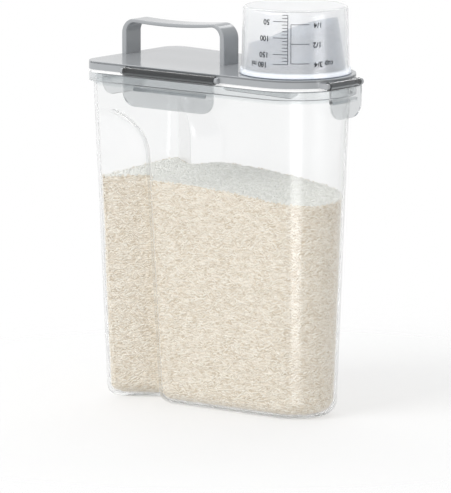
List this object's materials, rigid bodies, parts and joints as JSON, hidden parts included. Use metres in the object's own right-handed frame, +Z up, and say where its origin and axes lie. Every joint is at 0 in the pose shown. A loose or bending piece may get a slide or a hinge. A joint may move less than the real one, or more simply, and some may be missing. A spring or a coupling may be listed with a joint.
{
  "type": "rice container",
  "caption": "Clear upright rice container with grip scoops in its sides, a clip-down lid with a carry handle, and a pouring spout closed by a measuring cup.",
  "frame": {"origin": "on the floor, under the middle of the object", "axes": "+X forward to the spout and cup, +Y to the left, +Z up"},
  "size_m": [0.208, 0.1066, 0.2942],
  "materials": {
    "clear_bin": "clear, glossy",
    "grey_lid": "opaque light grey, glossy",
    "seal": "white silicone",
    "clip_plastic": "translucent grey",
    "spout_plastic": "opaque grey",
    "clear_cup": "clear, slightly frosted"
  },
  "bodies": {
    "container": {"container_body": "clear_bin"},
    "lid": {"lid_panel": "grey_lid", "lid_gasket": "seal", "carry_handle": "grey_lid", "pour_spout": "spout_plastic"},
    "right_clip": {"clip_right": "clip_plastic"},
    "left_clip": {"clip_left": "clip_plastic"},
    "front_clip": {"clip_front": "clip_plastic"},
    "rear_clip": {"clip_rear": "clip_plastic"},
    "cup": {"measuring_cup": "clear_cup"}
  },
  "joints": [
    {"name": "lid_lift", "type": "slide", "parent": "container", "child": "lid", "axis": [0, 0, 1], "range_m": [0, 0.06]},
    {"name": "right_clip_hinge", "type": "hinge", "parent": "lid", "child": "right_clip", "pos_m": [-0.01895, -0.04815, 0.24165], "axis": [-0.9986, -0.0537, 0], "range_deg": [0, 110]},
    {"name": "left_clip_hinge", "type": "hinge", "parent": "lid", "child": "left_clip", "pos_m": [-0.01895, 0.04815, 0.24165], "axis": [0.9986, -0.0537, 0], "range_deg": [0, 110]},
    {"name": "front_clip_hinge", "type": "hinge", "parent": "lid", "child": "front_clip", "pos_m": [0.101, 0, 0.24165], "axis": [0, -1, 0], "range_deg": [0, 110]},
    {"name": "rear_clip_hinge", "type": "hinge", "parent": "lid", "child": "rear_clip", "pos_m": [-0.101, 0, 0.24165], "axis": [0, 1, 0], "range_deg": [0, 110]},
    {"name": "cup_lift", "type": "slide", "parent": "lid", "child": "cup", "axis": [0, 0, 1], "range_m": [0, 0.06]}
  ]
}
